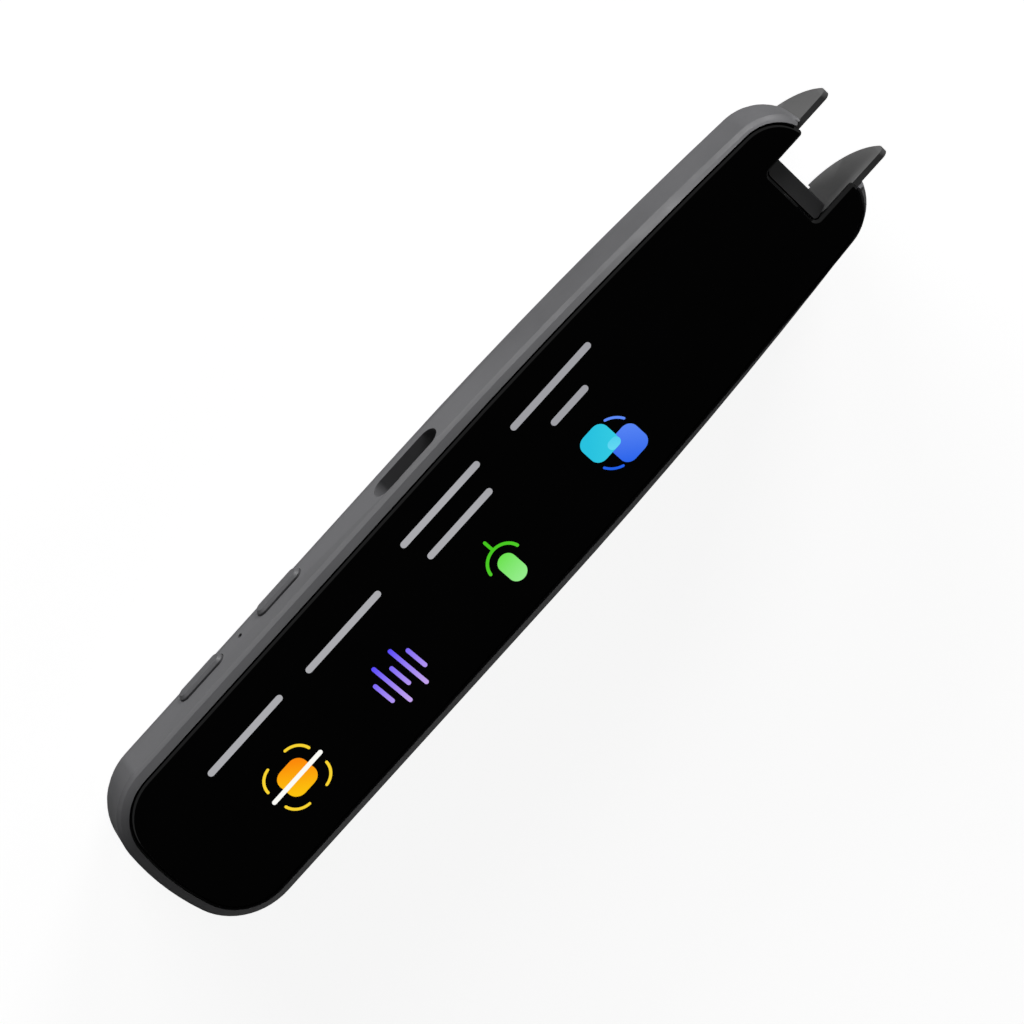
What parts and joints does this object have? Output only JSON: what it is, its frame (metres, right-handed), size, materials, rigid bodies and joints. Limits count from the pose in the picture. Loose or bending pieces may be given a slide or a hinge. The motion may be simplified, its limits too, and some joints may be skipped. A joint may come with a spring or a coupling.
{
  "type": "handheld scanning translator",
  "caption": "Slim pen-shaped scanning translator: tapered housing, long glass screen, side buttons and a sprung nib with upright prongs round a scanning gap.",
  "frame": {"origin": "middle of the flat back face", "axes": "+X from the nib towards the tail, -Y the button side, +Z out of the screen"},
  "size_m": [0.1482, 0.0323, 0.0112],
  "materials": {
    "housing_plastic": "painted satin grey",
    "nib_plastic": "satin moulded",
    "trim_plastic": "dark satin",
    "button_plastic": "painted satin grey",
    "cover_glass": "polished, black backed",
    "adhesive": "acrylic foam",
    "display_panel": "gloss",
    "frame_metal": "die cast",
    "window_glass": "clear",
    "circuit_board": "solder resist",
    "lamp": "clear dome",
    "lens_glass": "coated",
    "black_plastic": "moulded",
    "flex_film": "polyimide film",
    "screw_steel": "zinc plated",
    "cell_foil": "foil pouch",
    "can_steel": "tinned",
    "socket_steel": "nickel plated",
    "rubber": "soft",
    "mesh_steel": "black coated",
    "switch_steel": "stamped"
  },
  "bodies": {
    "housing": {"back_shell": "housing_plastic", "battery": "cell_foil", "battery_tape": "adhesive", "board_connectors": "black_plastic", "board_screws": "screw_steel", "camera_bracket": "frame_metal", "camera_flex": "flex_film", "camera_lens": "lens_glass", "camera_module": "black_plastic", "cover_glass": "cover_glass", "display_flex": "flex_film", "display_panel": "display_panel", "frame_screws": "screw_steel", "function_switch": "switch_steel", "glass_adhesive": "adhesive", "key_board": "circuit_board", "light_board": "circuit_board", "main_board": "circuit_board", "microphone": "can_steel", "microphone_boot": "rubber", "mid_frame": "frame_metal", "nib_switch": "black_plastic", "nose_trim": "trim_plastic", "power_switch": "switch_steel", "processor": "black_plastic", "scan_lamps": "lamp", "scan_window": "window_glass", "shield_can": "can_steel", "speaker_gasket": "rubber", "speaker_mesh": "mesh_steel", "speaker_module": "black_plastic", "usb_socket": "socket_steel"},
    "nib": {"scan_nib": "nib_plastic"},
    "power_key": {"power_button": "button_plastic"},
    "function_key": {"function_button": "button_plastic"}
  },
  "joints": [
    {"name": "nib_press", "type": "slide", "parent": "housing", "child": "nib", "axis": [1, 0, 0], "range_m": [0, 0.0008], "stiffness_N_per_m": 1500},
    {"name": "power_press", "type": "slide", "parent": "housing", "child": "power_key", "axis": [0, 1, 0], "range_m": [0, 0.00035], "stiffness_N_per_m": 2500},
    {"name": "function_press", "type": "slide", "parent": "housing", "child": "function_key", "axis": [0, 1, 0], "range_m": [0, 0.00035], "stiffness_N_per_m": 2500}
  ]
}
